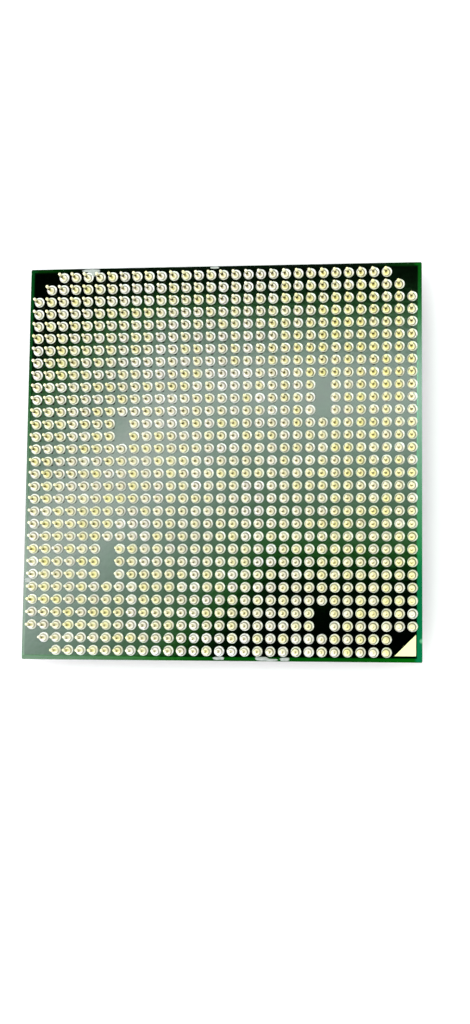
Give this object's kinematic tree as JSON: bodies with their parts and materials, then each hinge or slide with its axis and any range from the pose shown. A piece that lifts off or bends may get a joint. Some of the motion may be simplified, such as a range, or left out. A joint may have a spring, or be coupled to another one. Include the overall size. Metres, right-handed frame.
{
  "type": "desktop processor",
  "caption": "Square pin-grid desktop processor: green laminated board with a field of gold pins and empty keying places, lying on its stepped metal lid.",
  "frame": {"origin": "centre of the lid's outer face, on the surface that the part rests on", "axes": "+Z out of the pins, away from the lid; +X towards pin row A; +Y from place 1 of each row to place 31"},
  "size_m": [0.04, 0.04, 0.0055],
  "materials": {
    "solder_mask": "glossy green solder mask over copper",
    "nickel_plate": "satin nickel plating over copper",
    "silicone": "cured adhesive bead",
    "silicon": "polished silicon",
    "soft_solder": "dull soft solder",
    "resin": "dark epoxy resin",
    "ceramic": "fired ceramic with tinned ends",
    "gold_plate": "flat gold plating",
    "gold_pin": "gold plating with a bright solder ring at the foot"
  },
  "bodies": {
    "root": {"substrate": "solder_mask", "heat_spreader": "nickel_plate", "lid_seal": "silicone", "die": "silicon", "thermal_layer": "soft_solder", "underfill": "resin", "capacitors": "ceramic", "corner_mark_pin_side": "gold_plate", "corner_mark_lid_side": "gold_plate", "pins_row_a": "gold_pin", "pins_row_b": "gold_pin", "pins_row_c": "gold_pin", "pins_row_d": "gold_pin", "pins_row_e": "gold_pin", "pins_row_f": "gold_pin", "pins_row_g": "gold_pin", "pins_row_h": "gold_pin", "pins_row_j": "gold_pin", "pins_row_k": "gold_pin", "pins_row_l": "gold_pin", "pins_row_m": "gold_pin", "pins_row_n": "gold_pin", "pins_row_p": "gold_pin", "pins_row_r": "gold_pin", "pins_row_t": "gold_pin", "pins_row_u": "gold_pin", "pins_row_v": "gold_pin", "pins_row_w": "gold_pin", "pins_row_y": "gold_pin", "pins_row_aa": "gold_pin", "pins_row_ab": "gold_pin", "pins_row_ac": "gold_pin", "pins_row_ad": "gold_pin", "pins_row_ae": "gold_pin", "pins_row_af": "gold_pin", "pins_row_ag": "gold_pin", "pins_row_ah": "gold_pin", "pins_row_aj": "gold_pin", "pins_row_ak": "gold_pin", "pins_row_al": "gold_pin"}
  },
  "joints": []
}
